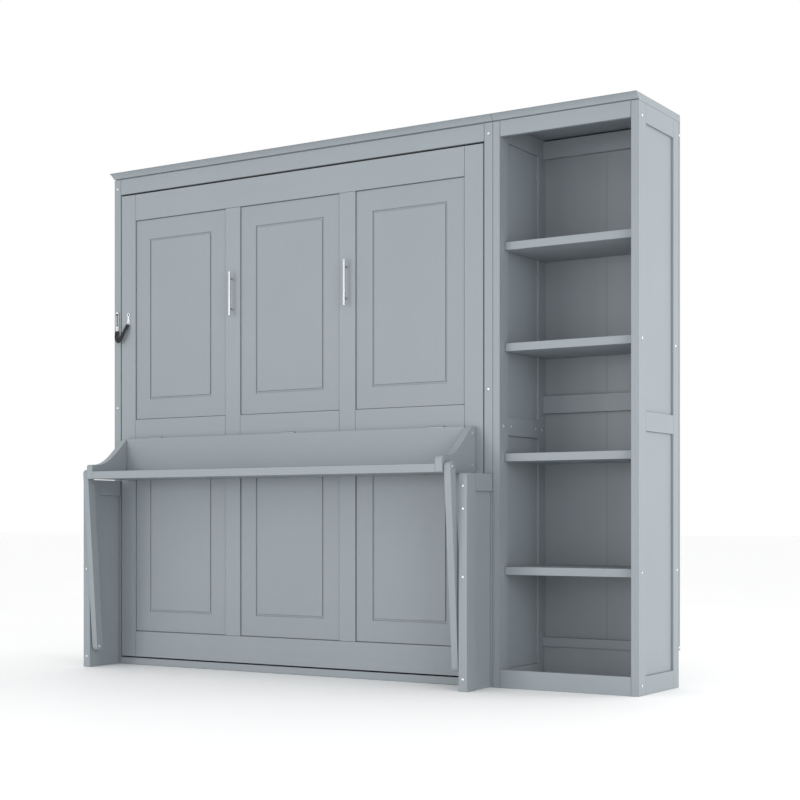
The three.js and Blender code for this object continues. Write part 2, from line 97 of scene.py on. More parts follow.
def area_light(name, place, target, size, power):
    data = bpy.data.lights.new(name, "AREA")
    data.shape = "RECTANGLE"
    data.size, data.size_y = size
    data.energy = power
    light = bpy.data.objects.new(name, data)
    light.location = place
    aim(light, target)
    light.visible_camera = False
    bpy.context.scene.collection.objects.link(light)


WORLD_STRENGTH = 1.0
# Name, place, target, size in metres and power in watts.
LIGHTS = (
    ("key", (-4.4, -7.6, 1.5), (0, 0, 1.2), (1.7, 1.7), 80),
    ("soft", (-2.2, -8.8, 1.3), (0.6, 0, 1.1), (2.8, 2.8), 84),
    ("fill", (7.4, -4.6, 1.7), (0.6, 0, 1.1), (3.5, 3.5), 205),
    ("rim", (5.2, 2.4, 1.5), (1.27, 0.1, 1.1), (1.6, 2.6), 80),
)


def add_lights():
    world = bpy.data.worlds.new("studio")
    world.use_nodes = True
    background = world.node_tree.nodes["Background"]
    background.inputs["Color"].default_value = (1, 1, 1, 1)
    background.inputs["Strength"].default_value = WORLD_STRENGTH
    bpy.context.scene.world = world
    for light in LIGHTS:
        area_light(*light)
    bpy.context.scene.view_settings.view_transform = "Standard"
    bpy.context.scene.view_settings.look = "None"


# ------------------------------------------------------------------ materials


class Graph:
    """A material's nodes, with short calls for the ones used here."""

    def __init__(self, name):
        self.material = bpy.data.materials.new(name)
        self.material.use_nodes = True
        self.tree = self.material.node_tree
        self.shader = self.tree.nodes["Principled BSDF"]

    def node(self, kind, **settings):
        made = self.tree.nodes.new(kind)
        for key, value in settings.items():
            setattr(made, key, value)
        return made

    def wire(self, source, target):
        self.tree.links.new(source, target)

    def place(self, scale):
        coordinates = self.node("ShaderNodeTexCoord")
        mapping = self.node("ShaderNodeMapping")
        mapping.inputs["Scale"].default_value = scale
        self.wire(coordinates.outputs["Object"], mapping.inputs["Vector"])
        return mapping.outputs["Vector"]

    def noise(self, scale, detail=3.0, roughness=0.5, distortion=0.0):
        made = self.node("ShaderNodeTexNoise")
        made.inputs["Scale"].default_value = 1.0
        made.inputs["Detail"].default_value = detail
        made.inputs["Roughness"].default_value = roughness
        made.inputs["Distortion"].default_value = distortion
        self.wire(self.place(scale), made.inputs["Vector"])
        return made.outputs["Fac"]

    def spread(self, value, low, high, start=0.0, end=1.0):
        made = self.node("ShaderNodeMapRange")
        made.inputs["From Min"].default_value = start
        made.inputs["From Max"].default_value = end
        made.inputs["To Min"].default_value = low
        made.inputs["To Max"].default_value = high
        self.wire(value, made.inputs["Value"])
        return made.outputs["Result"]

    def math(self, operation, a, b=None):
        made = self.node("ShaderNodeMath", operation=operation)
        for socket, value in zip(made.inputs, (a, b)):
            if isinstance(value, (int, float)):
                socket.default_value = value
            elif value is not None:
                self.wire(value, socket)
        return made.outputs["Value"]

    def ramp(self, value, *stops):
        made = self.node("ShaderNodeValToRGB")
        elements = made.color_ramp.elements
        while len(elements) < len(stops):
            elements.new(0.5)
        for element, (position, colour) in zip(elements, stops):
            element.position = position
            element.color = (*colour, 1)
        self.wire(value, made.inputs["Fac"])
        return made.outputs["Color"]

    def bump(self, height, distance, strength=1.0):
        made = self.node("ShaderNodeBump")
        made.inputs["Strength"].default_value = strength
        made.inputs["Distance"].default_value = distance
        self.wire(height, made.inputs["Height"])
        self.wire(made.outputs["Normal"], self.shader.inputs["Normal"])

    def set(self, **values):
        for key, value in values.items():
            self.shader.inputs[key.replace("_", " ")].default_value = value

    def feed(self, name, output):
        self.wire(output, self.shader.inputs[name])


def shade(colour, factor):
    return tuple(channel * factor for channel in colour)


PAINT = (0.246, 0.278, 0.299)


def along(axis, length, across):
    """A texture scale that is fine across the grain and long along one axis."""
    return tuple(length if i == axis else across for i in range(3))


def paint(name, axis, tone=1.0, grain=1.0, roughness=(0.42, 0.54)):
    """Sprayed satin paint, with the wood's grain showing faintly along one axis."""
    g = Graph(name)
    streaks = g.noise(along(axis, 1.6, 58), detail=4, roughness=0.62, distortion=0.25)
    cloud = g.noise((2.4, 2.4, 2.4), detail=2)
    peel = g.noise((620, 620, 620), detail=1.5)
    mixed = g.math("ADD", g.math("MULTIPLY", streaks, 0.42 * grain), g.math("MULTIPLY", cloud, 0.45))
    base = shade(PAINT, tone)
    g.feed("Base Color", g.ramp(mixed, (0.25, shade(base, 0.955)), (0.5, base), (0.75, shade(base, 1.035))))
    g.feed("Roughness", g.spread(g.math("ADD", streaks, peel), *roughness, 0.6, 1.4))
    relief = g.math("ADD", g.math("MULTIPLY", streaks, 0.75 * grain), g.math("MULTIPLY", peel, 0.3))
    g.bump(relief, 0.00022, 0.5)
    g.set(Specular_IOR_Level=0.42, Coat_Weight=0.06, Coat_Roughness=0.32)
    return g.material


def steel(name, colour, axis, roughness, fine=900):
    """Satin steel with the fine lines of its brushing along one axis."""
    g = Graph(name)
    lines = g.noise(along(axis, fine / 30, fine), detail=3, roughness=0.7)
    cloud = g.noise((40, 40, 40), detail=2)
    g.feed("Base Color", g.ramp(lines, (0.3, shade(colour, 0.9)), (0.7, colour)))
    g.feed("Roughness", g.spread(g.math("ADD", lines, cloud), *roughness, 0.6, 1.4))
    g.bump(lines, 0.00004, 0.4)
    g.set(Metallic=1.0)
    return g.material


def black_steel():
    g = Graph("black_enamel")
    peel = g.noise((800, 800, 800), detail=2)
    scuff = g.noise(along(2, 12, 160), detail=4, roughness=0.7)
    g.feed("Base Color", g.ramp(scuff, (0.35, (0.012, 0.013, 0.014)), (0.75, (0.028, 0.029, 0.031))))
    g.feed("Roughness", g.spread(scuff, 0.26, 0.46, 0.3, 0.75))
    g.bump(peel, 0.00006, 0.5)
    g.set(Metallic=0.25, Coat_Weight=0.4, Coat_Roughness=0.2)
    return g.material


def pine():
    """Planed pine slats: growth rings stretched along the slat, pores and a few darker patches."""
    g = Graph("pine")
    rings = g.node("ShaderNodeTexWave", wave_type="RINGS", rings_direction="X", wave_profile="SAW")
    rings.inputs["Scale"].default_value = 9
    rings.inputs["Distortion"].default_value = 6
    rings.inputs["Detail"].default_value = 3
    rings.inputs["Detail Scale"].default_value = 1.2
    g.wire(g.place((0.35, 6, 6)), rings.inputs["Vector"])
    pores = g.noise((14, 420, 420), detail=4, roughness=0.65)
    patch = g.noise((1.1, 7, 7), detail=3)
    grain = g.math("ADD", g.math("MULTIPLY", rings.outputs["Fac"], 0.5), g.math("MULTIPLY", pores, 0.28))
    total = g.math("ADD", grain, g.math("MULTIPLY", patch, 0.36))
    pale, middle, dark = (0.68, 0.47, 0.25), (0.60, 0.385, 0.185), (0.42, 0.235, 0.095)
    g.feed("Base Color", g.ramp(total, (0.28, pale), (0.55, middle), (0.85, dark)))
    g.feed("Roughness", g.spread(pores, 0.5, 0.68))
    g.bump(g.math("ADD", rings.outputs["Fac"], pores), 0.00018, 0.5)
    g.set(Specular_IOR_Level=0.35)
    return g.material


RIBS = 11
PICKS_PER_METRE = 520


def webbing(name, dark, light):
    """Woven strap: ribs along it crossed by slanting picks, from its own UV (u across, v in metres)."""
    g = Graph(name)
    split = g.node("ShaderNodeSeparateXYZ")
    g.wire(g.node("ShaderNodeTexCoord").outputs["UV"], split.inputs["Vector"])
    across = g.math("MULTIPLY", split.outputs["X"], 2 * math.pi * RIBS)
    length = g.math("MULTIPLY", split.outputs["Y"], 2 * math.pi * PICKS_PER_METRE)
    left = g.math("SINE", g.math("ADD", length, across))
    right = g.math("SINE", g.math("SUBTRACT", length, across))
    ribs = g.math("MULTIPLY", g.math("COSINE", across), 0.6)
    weave = g.math("ADD", g.math("MULTIPLY", left, right), ribs)
    fuzz = g.noise((2600, 2600, 2600), detail=2)
    height = g.math("ADD", weave, fuzz)
    g.feed("Base Color", g.ramp(g.spread(height, 0, 1, -1.2, 2.2), (0.2, dark), (0.8, light)))
    g.feed("Roughness", g.spread(height, 0.85, 0.62, -1, 2))
    g.bump(height, 0.00028, 0.9)
    g.set(Sheen_Weight=0.04, Sheen_Roughness=0.5, Specular_IOR_Level=0.2)
    return g.material


def thread():
    g = Graph("thread")
    twist = g.noise((5200, 5200, 1600), detail=1)
    g.feed("Base Color", g.ramp(twist, (0.35, (0.02, 0.02, 0.022)), (0.7, (0.06, 0.06, 0.065))))
    g.feed("Roughness", g.spread(twist, 0.55, 0.75))
    g.bump(twist, 0.0001, 0.6)
    return g.material


# Near-black material that is painted shade: the pad seen through the latch's slots and the screw in the door
# plate's hole.
def slot_shade_black():
    g = Graph("black_painted_shade")
    grain = g.noise((1500, 1500, 1500), detail=2)
    g.feed("Base Color", g.ramp(grain, (0.35, (0.006, 0.006, 0.007)), (0.7, (0.016, 0.016, 0.018))))
    g.feed("Roughness", g.spread(grain, 0.7, 0.85))
    g.bump(grain, 0.0001, 0.5)
    g.set(Specular_IOR_Level=0.15)
    return g.material


def floor_material():
    g = Graph("studio_floor")
    cloud = g.noise((0.7, 0.7, 0.7), detail=3)
    g.feed("Base Color", g.ramp(cloud, (0.3, (0.962, 0.963, 0.965)), (0.7, (0.975, 0.976, 0.977))))
    g.feed("Roughness", g.spread(cloud, 0.6, 0.7))
    g.set(Specular_IOR_Level=0.2)
    return g.material


GRAIN = [paint(f"painted_wood_{letter}", axis) for axis, letter in enumerate("xyz")]
# Darker tone on the eased edges: painted shade, outlining the boards with the dark lines that shade draws
# along edges and seams.
EDGE_SHADE = paint("painted_edge_shade", 2, tone=0.68, grain=0.6, roughness=(0.40, 0.50))
# Much darker tone for the eased edges of seams and of boards beside gaps: painted shade in narrow joints and
# gaps.
GAP_SHADE = paint("painted_gap_shade", 2, tone=0.30, grain=0.5, roughness=(0.55, 0.7))
PANEL = paint("painted_panel", 2, tone=0.985, grain=0.7)
BRUSHED = steel("brushed_steel_z", (0.53, 0.55, 0.56), 2, (0.3, 0.42))
ZINC = steel("zinc_screw", (0.68, 0.70, 0.72), 0, (0.3, 0.42), fine=1800)
PLATE = steel("plate_steel", (0.78, 0.79, 0.80), 2, (0.25, 0.36))
HINGE = steel("hinge_steel", (0.32, 0.35, 0.37), 0, (0.36, 0.48))
# Near-black stud: partly a black steel stud, partly painted shade inside the latch's slot.
STUD_BLACK_AND_SHADE = steel("stud_black_and_shade", (0.03, 0.031, 0.034), 0, (0.32, 0.45), fine=1500)
BLACK = black_steel()
SHADE_BLACK = slot_shade_black()
PINE = pine()
WEB = webbing("black_webbing", (0.006, 0.006, 0.007), (0.034, 0.035, 0.038))
THREAD = thread()
PAINT_SET = [*GRAIN, EDGE_SHADE, GAP_SHADE]
EDGE_SHADE_INDEX = 3
GAP_SHADE_INDEX = 4

# ------------------------------------------------------------------ mesh helpers

SMOOTH = math.radians(32)


def weighted(obj):
    modifier = obj.modifiers.new("normals", "WEIGHTED_NORMAL")
    modifier.keep_sharp = True


def finish_mesh(mesh):
    mesh.shade_smooth()
    mesh.set_sharp_from_angle(angle=SMOOTH)


def piece(name, bm, body, materials, replaces=()):
    """Turns a bmesh into an object that rides on a body."""
    bmesh.ops.recalc_face_normals(bm, faces=bm.faces[:])
    mesh = bpy.data.meshes.new(name)
    bm.to_mesh(mesh)
    bm.free()
    obj = bpy.data.objects.new(name, mesh)
    bpy.context.scene.collection.objects.link(obj)
    for material in materials:
        mesh.materials.append(material)
    finish_mesh(mesh)
    weighted(obj)
    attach(obj, body)
    if replaces:
        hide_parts(*replaces)
    return obj


def merge(bm, part):
    """Adds one bmesh to another."""
    bmesh.ops.recalc_face_normals(part, faces=part.faces[:])
    mesh = bpy.data.meshes.new("part")
    part.to_mesh(mesh)
    part.free()
    bm.from_mesh(mesh)
    bpy.data.meshes.remove(mesh)


EASED = math.radians(25)


def ease(part, width, index):
    """Rounds a part's sharp edges; the new faces take material index."""
    sharp = [e for e in part.edges if e.is_manifold and e.calc_face_angle() > EASED]
    bmesh.ops.bevel(
        part, geom=sharp, offset=width * MM, segments=2, profile=0.5,
        affect="EDGES", clamp_overlap=True, material=index,
    )


def prism(bm, outline, axis, ends, index=0, edge=1.2, edge_index=EDGE_SHADE_INDEX):
    """A closed outline, in the two other axes' order, drawn out along an axis between two ends (mm)."""
    part = bmesh.new()

    def point(a, b, c):
        return at(*{0: (c, a, b), 1: (a, c, b), 2: (a, b, c)}[axis])

    near = [part.verts.new(point(a, b, ends[0])) for a, b in outline]
    far = [part.verts.new(point(a, b, ends[1])) for a, b in outline]
    faces = [part.faces.new(near), part.faces.new(list(reversed(far)))]
    for i, vertex in enumerate(near):
        j = (i + 1) % len(near)
        faces.append(part.faces.new((vertex, far[i], far[j], near[j])))
    for face in faces:
        face.material_index = index
    bmesh.ops.recalc_face_normals(part, faces=part.faces[:])
    if edge:
        ease(part, edge, edge_index)
    merge(bm, part)


def board(bm, x, y, z, edge=1.2):
    """A board between x, y and z ranges (mm), its grain along its longest side."""
    sizes = [abs(b - a) for a, b in (x, y, z)]
    axis = sizes.index(max(sizes))
    prism(bm, [(x[0], y[0]), (x[1], y[0]), (x[1], y[1]), (x[0], y[1])], 2, z, axis, edge)


def arc(a, b, radius, start, end, steps):
    angles = [math.radians(start + (end - start) * i / steps) for i in range(steps + 1)]
    return [(a + radius * math.cos(t), b + radius * math.sin(t)) for t in angles]


def hexagon_radius(apothem, angle):
    return apothem / math.cos((angle % (math.pi / 3)) - math.pi / 6)


def lathe(bm, profile, centre, direction, segments=32, index=0):
    """Rings of (radius, height) in millimetres round a line from centre, a point in metres, along direction.
    A radius below zero is a hexagon of that half-width across flats."""
    turn = Vector(direction).to_track_quat("Z", "Y").to_matrix()
    rings = []
    for radius, height in profile:
        if radius == 0:
            rings.append([bm.verts.new(centre + turn @ Vector((0, 0, height * MM)))])
            continue
        ring = []
        for i in range(segments):
            angle = 2 * math.pi * i / segments
            reach = radius if radius > 0 else hexagon_radius(-radius, angle)
            ring.append(bm.verts.new(centre + turn @ Vector(
                (reach * MM * math.cos(angle), reach * MM * math.sin(angle), height * MM))))
        rings.append(ring)
    for low, high in zip(rings, rings[1:]):
        for i in range(segments):
            j = (i + 1) % segments
            corners = [low[i % len(low)], low[j % len(low)], high[j % len(high)], high[i % len(high)]]
            unique = list(dict.fromkeys(corners))
            bm.faces.new(unique).material_index = index


# ------------------------------------------------------------------ CAD nodes that stay


def keep(names, material, width, edge=None, angle=30):
    """Gives CAD nodes their material, eased edges and clean shading."""
    for name in names:
        node = NODES[name]
        node.data.materials.clear()
        node.data.materials.append(material)
        node.data.materials.append(edge or material)
        for polygon in node.data.polygons:
            polygon.material_index = 0
        finish_mesh(node.data)
        weld = node.modifiers.new("weld", "WELD")
        weld.merge_threshold = 0.00001
        if width:
            bevel = node.modifiers.new("bevel", "BEVEL")
            bevel.width = width * MM
            bevel.segments = 2
            bevel.limit_method = "ANGLE"
            bevel.angle_limit = math.radians(angle)
            bevel.material = 1
            bevel.use_clamp_overlap = True
        weighted(node)


def dress_cad_nodes():
    # Each node's second material goes on its bevel faces: the painted edge shade, or the darker painted
    # shade of seams and gaps.
    keep(["bed_crown", "bookcase_crown"], GRAIN[0], 0.8, EDGE_SHADE, 35)
    keep(["bed_bottom_rail", "bed_back_rail_top", "bed_back_rail_bottom",
          "bookcase_bottom_rail", "bookcase_back_rail_top",
          "bookcase_back_rail_middle", "bookcase_back_rail_bottom", "door_rail_top",
          "door_rail_bottom", "bed_frame_head", "bed_frame_foot"],
         GRAIN[0], 1.2, EDGE_SHADE)
    keep(["bed_top_rail", "bookcase_top_rail", "desk_upstand"], GRAIN[0], 1.4, GAP_SHADE)
    keep(["desk_top"], GRAIN[0], 0.8, GAP_SHADE)
    keep([f"bookcase_shelf_{i}" for i in range(1, 5)], GRAIN[0], 0.8, GAP_SHADE)
    keep(["door_mid_rail_left", "door_mid_rail_centre", "door_mid_rail_right"], GRAIN[0], 0.9, EDGE_SHADE)
    keep(["door_stile_left", "door_stile_right", "door_stile_mid_left", "door_stile_mid_right",
          "bed_frame_side_left", "bed_frame_side_right", "link_arm_left", "link_arm_right"],
         GRAIN[2], 1.2, EDGE_SHADE)
    keep(["desk_bracket_left", "desk_bracket_right"], GRAIN[1], 1.6, EDGE_SHADE)
    keep(["door_panel_left", "door_panel_centre", "door_panel_right"], PANEL, 0.7, EDGE_SHADE)
    keep(["bed_back_board", "bookcase_back_board_left", "bookcase_back_board_right"], PANEL, 1.5, GAP_SHADE)
    keep(["slat_deck"], PINE, 2.0)
    keep(["pivot_plate_left", "pivot_plate_right", "strut_rod_left", "strut_rod_right"], BRUSHED, 0.4)
    keep(["strut_cylinder_left", "strut_cylinder_right"], BLACK, 0.5)


# ------------------------------------------------------------------ framed sides and wings

SEAM = 0.15
INFILL_GAP = 0.2
FRAME_EDGE, WING_EDGE, INFILL_EDGE = 0.8, 0.6, 0.5  # widths of the eased edges


def framed_side(name, outward):
    """Stiles and rails as separate boards, so that their seams show, round two set-in infills."""
    low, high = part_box(name)
    x = [(low.x - ORIGIN.x) / MM, (high.x - ORIGIN.x) / MM]
    front_end, rear_start = SIDE_STILES
    (low_sill, low_head), (high_sill, high_head) = SIDE_WINDOWS
    bm = bmesh.new()
    board(bm, x, (0, front_end - SEAM), (0, SIDE_TOP), FRAME_EDGE)
    board(bm, x, (rear_start + SEAM, SIDE_DEPTH), (0, SIDE_TOP), FRAME_EDGE)
    rail_y = (front_end + SEAM, rear_start - SEAM)
    for z in ((0, low_sill), (low_head, high_sill), (high_head, SIDE_TOP)):
        board(bm, x, rail_y, z, FRAME_EDGE)
    near, far = SIDE_RECESS, SIDE_RECESS + SIDE_INFILL
    infill = (x[1] - far, x[1] - near) if outward > 0 else (x[0] + near, x[0] + far)
    for sill, head in SIDE_WINDOWS:
        board(bm, infill, rail_y, (sill + INFILL_GAP, head - INFILL_GAP), INFILL_EDGE)
    piece(name + "_boards", bm, "cabinet", PAINT_SET, replaces=[name])


GAP_SHADE_STRIP = (-2.6, -0.3)  # a dark strip of painted shade, for the shadow in the gap between a wing and its post, in y


def wing(label, side):
    """A wing's stile with its rounded top corner, its top rail, the set-in panel and, at the rear joint,
    strips of painted shade.
    """
    x = sorted((side * WING_INNER, side * BED_FACE))
    front, top, joint, low = WING_FRONT, WING_TOP, WING_STILE_END, WING_RAIL_BOTTOM
    rear, post = GAP_SHADE_STRIP
    corner = arc(front + WING_CORNER, top - WING_CORNER, WING_CORNER, 90, 180, 6)
    bm = bmesh.new()
    stile = [(joint - SEAM, 0), (joint - SEAM, top), *corner, (front, 0)]
    prism(bm, stile, 0, x, index=2, edge=WING_EDGE)
    rail = [(joint + SEAM, low), (joint + SEAM, top), (rear, top), (rear, low)]
    prism(bm, rail, 0, x, index=1, edge=WING_EDGE)
    panel_x = (x[0] + WING_RECESS, x[1] - WING_RECESS)
    board(bm, panel_x, (joint + SEAM, rear), (0, low - SEAM), INFILL_EDGE)
    # Dark strips of painted shade behind the wing's rail and panel, where the gap to the post lies in
    # shadow.
    for (bottom, end), inset in (((1, low), WING_RECESS + 0.6), ((low, top - 1), 0.8)):
        strip = [(rear, bottom), (rear, end), (post, end), (post, bottom)]
        prism(bm, strip, 0, (x[0] + inset, x[1] - inset), GAP_SHADE_INDEX, 0)
    name = f"front_wing_{label}"
    piece(name + "_boards", bm, "cabinet", PAINT_SET, replaces=[name])


def add_framed_pieces():
    framed_side("bed_side_left", -1)
    framed_side("bed_side_right", 1)
    framed_side("bookcase_side_left", -1)
    framed_side("bookcase_side_right", 1)
    wing("left", -1)
    wing("right", 1)


# ------------------------------------------------------------------ fasteners

# Profiles as (radius, height); a radius below zero is the flat-sided socket for the key.
HEAD = [(0, 0.02), (6.0, 0.02), (6.0, 0.6), (5.6, 1.6), (4.8, 2.5), (3.6, 3.0), (-2.3, 3.05), (-2.1, 1.2),
        (0, 0.9)]
LOW_HEAD = [(radius, height * 0.55) for radius, height in HEAD]
PIVOT_HEAD = [(0, 0.02), (9.0, 0.02), (9.0, 1.0), (8.6, 1.3), (7.0, 1.3), (7.0, 2.0), (6.4, 3.2),
              (4.4, 3.9), (-2.9, 3.95), (-2.7, 1.9), (0, 1.5)]
POST_SCREWS = (1146, 2129)
WING_SCREWS = (46, 429, 685, 770)
BRACKET_SCREW_Y, BRACKET_SCREWS = -25, (853, 977)
BED_SIDE_SCREWS = [(y, z) for y in (33, 355) for z in (36, 1003, 2130)]
BOOKCASE_SIDE_SCREWS = [(33, 36), (33, 449), (33, 1308), (33, 2121), (386, 152), (363, 451), (350, 1308),
                        (386, 2120)]
INNER_BOLT_Z, INNER_BOLTS = 1005, (33, 97, 299, 355)


def screws(name, body, places, direction, profile=HEAD):
    bm = bmesh.new()
    for place in places:
        lathe(bm, profile, at(*place), direction, segments=36)
    piece(name, bm, body, [ZINC])


def arm_bolts(label, side):
    """The bolts of a link arm's pivots: the lower head is on the inner face, the upper one outside."""
    bm = bmesh.new()
    lathe(bm, PIVOT_HEAD, at(side * ARM_INNER, *ARM_LOWER), (-side, 0, 0), segments=36)
    lathe(bm, PIVOT_HEAD, at(side * ARM_OUTER, *ARM_UPPER), (side, 0, 0), segments=36)
    piece(f"arm_bolts_{label}", bm, f"link_arm_{label}", [ZINC])


def add_screws():
    posts = [(side * POST_MIDDLE, 0, z) for side in (-1, 1) for z in POST_SCREWS]
    screws("post_screws", "cabinet", posts, (0, -1, 0))
    for label, side in (("left", -1), ("right", 1)):
        screws(f"wing_screws_{label}", "cabinet",
               [(side * POST_MIDDLE, WING_FRONT, z) for z in WING_SCREWS], (0, -1, 0))
        screws(f"bracket_screws_{label}", "desk",
               [(side * BRACKET_OUTER, BRACKET_SCREW_Y, z) for z in BRACKET_SCREWS], (side, 0, 0), LOW_HEAD)
        arm_bolts(label, side)
    bed_side = [(-BED_FACE, y, z) for y, z in BED_SIDE_SCREWS]
    screws("bed_side_screws_left", "cabinet", bed_side, (-1, 0, 0), LOW_HEAD)
    bookcase_side = [(BOOKCASE_FACE, y, z) for y, z in BOOKCASE_SIDE_SCREWS]
    screws("bookcase_side_screws", "cabinet", bookcase_side, (1, 0, 0))
    inner = [(BOOKCASE_INNER, y, INNER_BOLT_Z) for y in INNER_BOLTS]
    screws("bookcase_inner_bolts", "cabinet", inner, (1, 0, 0))


# ------------------------------------------------------------------ handles


POST_SPACING = 128


def add_handles():
    bar = [(0, -94), (4.9, -94), (5.5, -93.4), (5.5, 93.4), (4.9, 94), (0, 94)]
    post = [(0, 0.3), (5.4, 0.3), (5.4, 1.2), (5.0, 1.6), (4.5, 2.0), (4.5, 21.5), (0, 21.5)]
    for label, side in (("left", -1), ("right", 1)):
        bm = bmesh.new()
        lathe(bm, bar, at(side * HANDLE_X, HANDLE_Y, HANDLE_Z), (0, 0, 1), segments=48)
        for end in (-1, 1):
            foot = at(side * HANDLE_X, 0, HANDLE_Z + end * POST_SPACING / 2)
            lathe(bm, post, foot, (0, -1, 0), segments=36)
        piece(f"handle_{label}", bm, "bed", [BRUSHED], replaces=[f"pull_handle_{label}"])


# ------------------------------------------------------------------ desk hinges

KNUCKLES = 5
HINGE_LENGTH, KNUCKLE_GAP, KNUCKLE_RADIUS = 69.6, 0.4, 4.5
LEAF_Y = (-1.9, -0.35)  # the door's leaf
LEAF_BOTTOM, LEAF_TOP = 976, 1001
DESK_LEAF_Y, DESK_LEAF_Z = (-5.2, -3.6), (1001, 1005)
KNUCKLE_LEAF_Z = (1000, 1009)


def rectangle(a, b):
    return [(a[0], b[0]), (a[1], b[0]), (a[1], b[1]), (a[0], b[1])]


def add_hinge(label, middle):
    """A butt hinge: every second knuckle belongs to the desk's leaf."""
    first = middle - HINGE_LENGTH / 2
    pitch = HINGE_LENGTH / KNUCKLES
    length = pitch - KNUCKLE_GAP
    radius, eased = KNUCKLE_RADIUS, KNUCKLE_RADIUS - 0.4
    knuckle = [(0, 0), (eased, 0), (radius, 0.4), (radius, length - 0.4), (eased, length), (0, length)]
    door, desk = bmesh.new(), bmesh.new()
    for i in range(KNUCKLES):
        ends = (first + i * pitch, first + i * pitch + length)
        target = door if i % 2 == 0 else desk
        lathe(target, knuckle, at(ends[0], *HINGE_AXIS), (1, 0, 0), segments=28)
        if target is desk:
            prism(desk, rectangle(DESK_LEAF_Y, DESK_LEAF_Z), 0, ends, 0, 0)
        else:
            prism(door, rectangle(LEAF_Y, KNUCKLE_LEAF_Z), 0, ends, 0, 0.3, 0)
    leaf = rectangle(LEAF_Y, (LEAF_BOTTOM, LEAF_TOP))
    prism(door, leaf, 0, (first, first + HINGE_LENGTH), 0, 0.3, 0)
    piece(f"hinge_{label}", door, "bed", [HINGE], replaces=[f"desk_hinge_{label}"])
    piece(f"hinge_desk_leaf_{label}", desk, "desk", [HINGE])


def add_hinges():
    for label, middle in HINGE_PLACES:
        add_hinge(label, middle)


# ------------------------------------------------------------------ safety strap


def flat_plate(bm, outline, holes, y, edge=0.5, index=0):
    """A plate in the x-z plane with round edges and holes, between two y values (mm)."""
    curve = bpy.data.curves.new("plate", "CURVE")
    curve.dimensions = "2D"
    curve.fill_mode = "BOTH"
    for loop in [outline, *holes]:
        spline = curve.splines.new("POLY")
        spline.points.add(len(loop) - 1)
        for point, (a, b) in zip(spline.points, loop):
            point.co = (a * MM, b * MM, 0, 1)
        spline.use_cyclic_u = True
    curve.bevel_depth = edge * MM
    curve.bevel_resolution = 2
    curve.offset = -edge * MM
    curve.extrude = (abs(y[1] - y[0]) / 2 - edge) * MM
    obj = bpy.data.objects.new("plate", curve)
    bpy.context.scene.collection.objects.link(obj)
    bpy.context.view_layer.update()
    mesh = bpy.data.meshes.new_from_object(obj.evaluated_get(bpy.context.evaluated_depsgraph_get()))
    bpy.data.objects.remove(obj)
    bpy.data.curves.remove(curve)
    turn = Matrix.Rotation(math.radians(90), 4, "X")
    mesh.transform(Matrix.Translation(at(0, (y[0] + y[1]) / 2, 0)) @ turn)
    part = bmesh.new()
    part.from_mesh(mesh)
    bpy.data.meshes.remove(mesh)
    bmesh.ops.remove_doubles(part, verts=part.verts[:], dist=0.00001)
    for face in part.faces:
        face.material_index = index
    merge(bm, part)


def stadium(x, half, ends):
    """The outline of a slot with round ends, centred on x, from z ends[0] to ends[1]."""
    return [*arc(x, ends[1] - half, half, 0, 180, 14), *arc(x, ends[0] + half, half, 180, 360, 14)]


def circle(x, z, radius, steps=28):
    return arc(x, z, radius, 0, 360 - 360 / steps, steps - 1)


def smooth_path(points, steps):
    """Catmull-Rom points through the given ones."""
    padded = [points[0] * 2 - points[1], *points, points[-1] * 2 - points[-2]]
    path = []
    for a, b, c, d in zip(padded, padded[1:], padded[2:], padded[3:]):
        for i in range(steps):
            t = i / steps
            path.append(0.5 * ((2 * b) + (c - a) * t + (2 * a - 5 * b + 4 * c - d) * t * t
                               + (3 * b - a - 3 * c + d) * t ** 3))
    path.append(points[-1])
    return path


# The band's section, as shares of half its width and half its thickness: round edges and thicker selvedges.
HALF_SECTION = [(-1, 0), (-0.985, 0.6), (-0.94, 0.95), (-0.5, 1.04), (0, 1), (0.5, 1.04), (0.94, 0.95),
                (0.985, 0.6)]
SECTION = HALF_SECTION + [(-a, -b) for a, b in HALF_SECTION]


def ribbon(bm, path, widths, width, thickness):
    """A flat band along a path, with round edges. widths gives each point's direction across the band."""
    uv = bm.loops.layers.uv.verify()
    half, lift = width / 2 * MM, thickness / 2 * MM
    rows, travelled = [], [0.0]
    for i, point in enumerate(path):
        ahead = path[min(i + 1, len(path) - 1)] - path[max(i - 1, 0)]
        tangent = ahead.normalized()
        across = (widths[i] - tangent * widths[i].dot(tangent)).normalized()
        normal = tangent.cross(across)
        rows.append([bm.verts.new(point + across * (a * half) + normal * (b * lift)) for a, b in SECTION])
        if i:
            travelled.append(travelled[-1] + (path[i] - path[i - 1]).length)
    count = len(SECTION)
    for r in range(len(rows) - 1):
        for i in range(count):
            j = (i + 1) % count
            face = bm.faces.new((rows[r][i], rows[r][j], rows[r + 1][j], rows[r + 1][i]))
            for loop, (row, k) in zip(face.loops, ((r, i), (r, j), (r + 1, j), (r + 1, i))):
                loop[uv].uv = (SECTION[k][0] / 2 + 0.5, travelled[row])
    bm.faces.new(list(reversed(rows[0])))
    bm.faces.new(rows[-1])


STITCH_RADIUS = 0.42
STITCH_PITCH = 3.0
STITCH_LIFT = 0.1


def stitch(bm, start, end):
    """One stitch: a short round-ended thread between two points in metres."""
    direction = end - start
    length = direction.length / MM
    full, tip = STITCH_RADIUS, STITCH_RADIUS * 0.7
    profile = [(0, 0), (tip, 0.12), (full, 0.4), (full, length - 0.4), (tip, length - 0.12), (0, length)]
    lathe(bm, profile, start, direction, segments=8, index=1)


